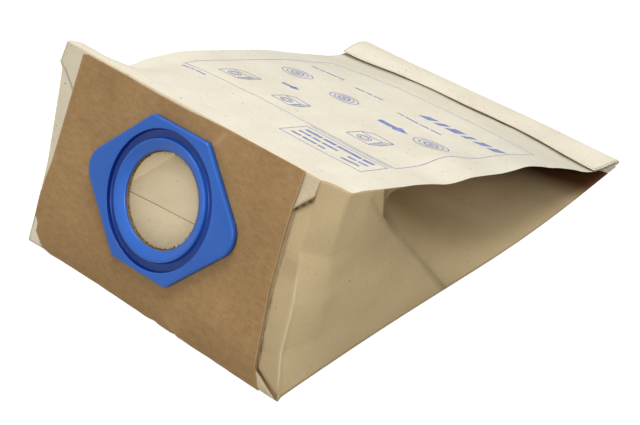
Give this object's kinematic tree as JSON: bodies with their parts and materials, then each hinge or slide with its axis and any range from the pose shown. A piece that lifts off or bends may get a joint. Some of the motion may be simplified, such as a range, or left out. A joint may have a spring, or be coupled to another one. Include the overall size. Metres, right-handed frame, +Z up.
{
  "type": "vacuum dust bag",
  "caption": "Paper dust bag for a vacuum cleaner, a gusseted tube with a block bottom that carries a card plate and a plastic collar with a round inlet.",
  "frame": {"origin": "middle of the lower panel's underside", "axes": "+Y from the collar end to the glued end, +X along the front's width, +Z up from the lower panel"},
  "size_m": [0.214, 0.2966, 0.1042],
  "materials": {
    "bag_paper": "matte, creased, two-ply filter paper",
    "kraft_card": "matte brown kraft card with fibres",
    "blue_plastic": "semi-gloss moulded plastic"
  },
  "bodies": {
    "root": {"paper_bag": "bag_paper", "card_plate": "kraft_card", "collar": "blue_plastic"}
  },
  "joints": []
}
